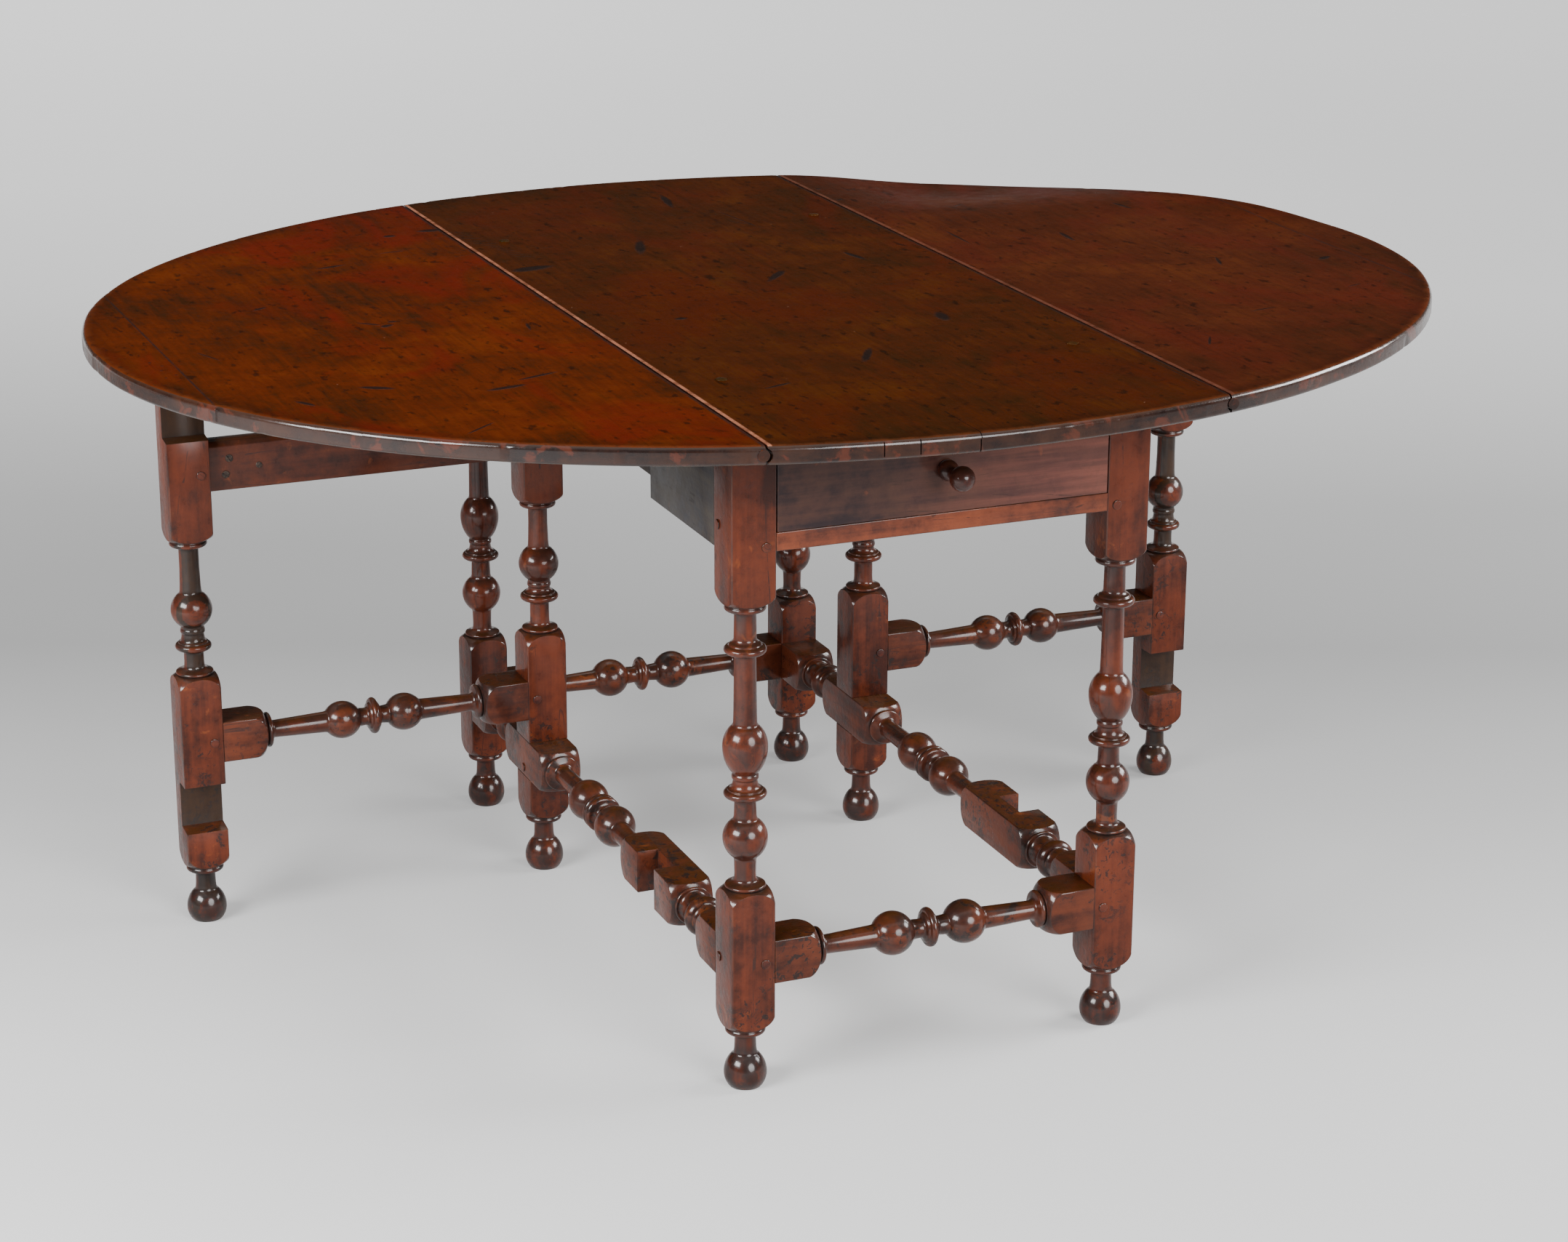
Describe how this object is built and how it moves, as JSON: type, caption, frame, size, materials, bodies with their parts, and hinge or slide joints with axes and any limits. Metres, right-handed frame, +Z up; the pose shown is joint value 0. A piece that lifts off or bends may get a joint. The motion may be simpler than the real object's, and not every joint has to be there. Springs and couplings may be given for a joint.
{
  "type": "drop-leaf dining table",
  "caption": "Gate-leg table with an oval top, drop leaves held up by swinging gates, ball-turned legs and stretchers, and a drawer with a turned knob.",
  "frame": {"origin": "on the floor, under the middle of the oval top", "axes": "+X across the leaves, towards the right-hand leaf as seen from the drawer; +Y away from the drawer; +Z up"},
  "size_m": [1.49, 1.224, 0.724],
  "materials": {
    "frame_paint": "worn red-brown paint, satin",
    "top_finish": "old varnish over brown wood, satin",
    "rail_paint": "faded grey-black paint, matte",
    "bare_wood": "unpainted wood, matte",
    "iron": "dark wrought iron"
  },
  "bodies": {
    "frame": {"top_board": "top_finish", "top_pegs": "top_finish", "leg_front_left": "frame_paint", "leg_front_right": "frame_paint", "leg_back_left": "frame_paint", "leg_back_right": "frame_paint", "side_rail_left": "rail_paint", "side_rail_right": "rail_paint", "back_rail": "frame_paint", "drawer_rail": "frame_paint", "drawer_runner_left": "bare_wood", "drawer_runner_right": "bare_wood", "runner_nails": "iron", "end_stretcher_front": "frame_paint", "end_stretcher_back": "frame_paint", "side_stretcher_left": "frame_paint", "side_stretcher_right": "frame_paint", "pivot_foot_left": "frame_paint", "pivot_foot_right": "frame_paint", "frame_pegs": "frame_paint", "hinge_plates_frame": "iron", "hinge_pins": "iron", "hinge_nails_frame": "iron"},
    "left_leaf": {"leaf_left": "top_finish", "leaf_strip_left": "top_finish", "hinge_plates_left": "iron", "hinge_nails_left": "iron"},
    "right_leaf": {"leaf_right": "top_finish", "leaf_strip_right": "top_finish", "hinge_plates_right": "iron", "hinge_nails_right": "iron"},
    "left_gate": {"gate_pivot_leg_left": "frame_paint", "gate_outer_leg_left": "frame_paint", "gate_top_rail_left": "frame_paint", "gate_stretcher_left": "frame_paint", "gate_pegs_left": "frame_paint", "gate_rail_screws": "iron"},
    "right_gate": {"gate_pivot_leg_right": "frame_paint", "gate_outer_leg_right": "frame_paint", "gate_top_rail_right": "frame_paint", "gate_stretcher_right": "frame_paint", "gate_pegs_right": "frame_paint"},
    "drawer": {"drawer_front": "frame_paint", "drawer_side_left": "bare_wood", "drawer_side_right": "bare_wood", "drawer_back": "bare_wood", "drawer_bottom": "bare_wood", "drawer_nails": "iron", "drawer_knob": "frame_paint"}
  },
  "joints": [
    {"name": "left_gate_swing", "type": "hinge", "parent": "frame", "child": "left_gate", "pos_m": [-0.2045, 0.206, 0], "axis": [0, 0, 1], "range_deg": [0, 90]},
    {"name": "left_leaf_lift", "type": "hinge", "parent": "frame", "child": "left_leaf", "pos_m": [-0.244, 0, 0.704], "axis": [0, 1, 0], "range_deg": [0, 5]},
    {"name": "right_gate_swing", "type": "hinge", "parent": "frame", "child": "right_gate", "pos_m": [0.2045, 0.206, 0], "axis": [0, 0, -1], "range_deg": [0, 90]},
    {"name": "right_leaf_lift", "type": "hinge", "parent": "frame", "child": "right_leaf", "pos_m": [0.244, 0, 0.704], "axis": [0, -1, 0], "range_deg": [0, 5]},
    {"name": "drawer_slide", "type": "slide", "parent": "frame", "child": "drawer", "axis": [0, -1, 0], "range_m": [0, 0.4]}
  ]
}
